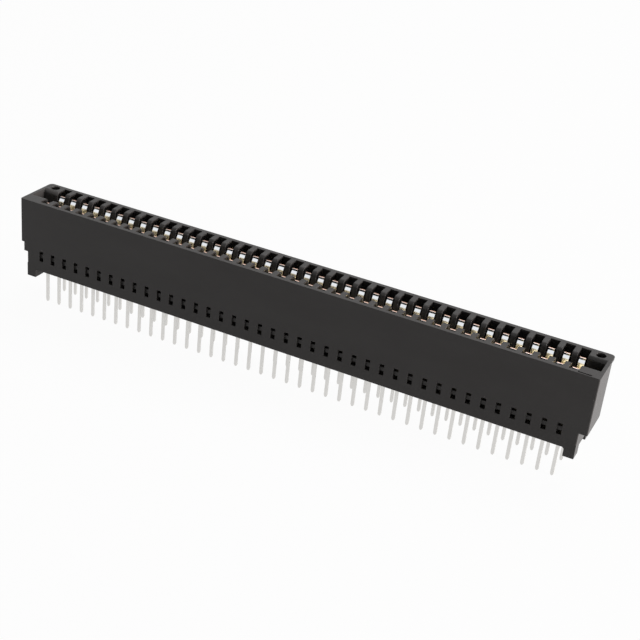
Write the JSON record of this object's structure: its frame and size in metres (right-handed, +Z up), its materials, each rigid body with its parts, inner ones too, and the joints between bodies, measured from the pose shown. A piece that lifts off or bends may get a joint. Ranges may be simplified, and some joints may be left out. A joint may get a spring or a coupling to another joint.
{
  "type": "card edge connector",
  "caption": "Long black card edge connector with an open card slot, ribbed cells holding bowed gold spring contacts on both sides, end stand-off feet and straight solder tails.",
  "frame": {"origin": "centre of the bounding box in plan, in the plane of the tail tips", "axes": "+X along the rows of contacts, +Y to the rear side with the rounded corners, +Z up, out of the card slot"},
  "size_m": [0.108, 0.009, 0.0203],
  "materials": {
    "housing": "fine moulded satin",
    "contact": "gold at the spring, tin at the tail"
  },
  "bodies": {
    "root": {"housing": "housing", "front_contacts_01": "contact", "front_contacts_02": "contact", "front_contacts_03": "contact", "front_contacts_04": "contact", "front_contacts_05": "contact", "front_contacts_06": "contact", "front_contacts_07": "contact", "front_contacts_08": "contact", "front_contacts_09": "contact", "front_contacts_10": "contact", "front_contacts_11": "contact", "front_contacts_12": "contact", "front_contacts_13": "contact", "front_contacts_14": "contact", "front_contacts_15": "contact", "front_contacts_16": "contact", "front_contacts_17": "contact", "front_contacts_18": "contact", "front_contacts_19": "contact", "front_contacts_20": "contact", "rear_contacts_01": "contact", "rear_contacts_02": "contact", "rear_contacts_03": "contact", "rear_contacts_04": "contact", "rear_contacts_05": "contact", "rear_contacts_06": "contact", "rear_contacts_07": "contact", "rear_contacts_08": "contact", "rear_contacts_09": "contact", "rear_contacts_10": "contact", "rear_contacts_11": "contact", "rear_contacts_12": "contact", "rear_contacts_13": "contact", "rear_contacts_14": "contact", "rear_contacts_15": "contact", "rear_contacts_16": "contact", "rear_contacts_17": "contact", "rear_contacts_18": "contact", "rear_contacts_19": "contact", "rear_contacts_20": "contact"}
  },
  "joints": []
}
